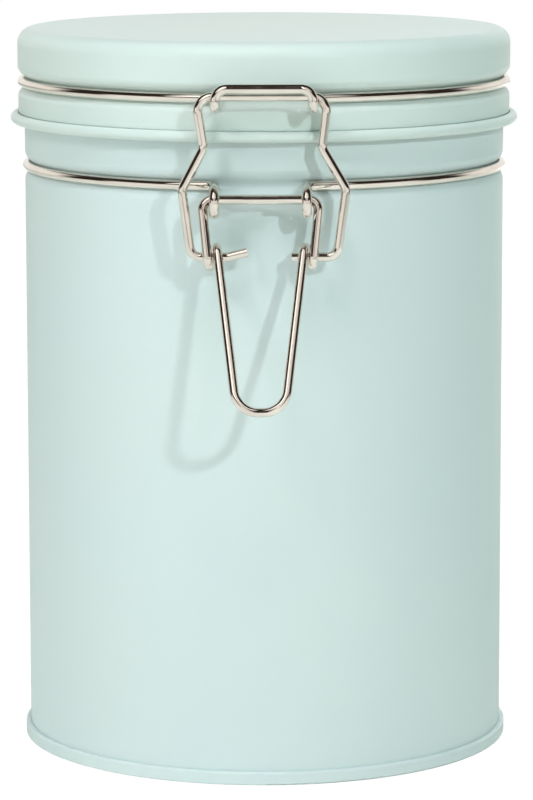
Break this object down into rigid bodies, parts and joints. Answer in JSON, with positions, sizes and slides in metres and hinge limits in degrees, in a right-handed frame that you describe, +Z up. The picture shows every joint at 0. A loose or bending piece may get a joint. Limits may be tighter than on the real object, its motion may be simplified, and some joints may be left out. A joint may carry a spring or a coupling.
{
  "type": "coffee tin",
  "caption": "Round clamp-lid coffee tin: painted tinplate body and hinged lid, with a wire ring hinge and a wire lever clasp.",
  "frame": {"origin": "centre of the foot, on the surface that the tin stands on", "axes": "+Z up along the tin's axis; the clasp is on -Y and the hinge on +Y; X runs along the wire pivots"},
  "size_m": [0.1014, 0.121, 0.1437],
  "materials": {
    "painted_tin": "matt mint paint",
    "plated_wire": "polished nickel plate",
    "bare_tinplate": "satin tinplate",
    "silicone": "translucent white silicone"
  },
  "bodies": {
    "tin": {"tin_body": "painted_tin", "tin_bottom": "painted_tin", "neck_ring": "plated_wire"},
    "lid": {"lid_shell": "painted_tin", "lid_liner": "bare_tinplate", "lid_gasket": "silicone", "lid_ring": "plated_wire"},
    "lever": {"lever": "plated_wire"},
    "bail": {"bail": "plated_wire"}
  },
  "joints": [
    {"name": "lid_hinge", "type": "hinge", "parent": "tin", "child": "lid", "pos_m": [0, 0.0506, 0.1144], "axis": [-1, 0, 0], "range_deg": [0, 110]},
    {"name": "lever_pivot", "type": "hinge", "parent": "tin", "child": "lever", "pos_m": [-0.0007, -0.0525, 0.11445], "axis": [-1, 0, 0], "range_deg": [0, 70]},
    {"name": "bail_pivot", "type": "hinge", "parent": "lever", "child": "bail", "pos_m": [0, -0.0523, 0.1035], "axis": [-1, 0, 0], "range_deg": [-53, 0]}
  ],
  "couplings": [
    {"joint": "bail_pivot", "follows": "lever_pivot", "ratio": -0.75}
  ]
}
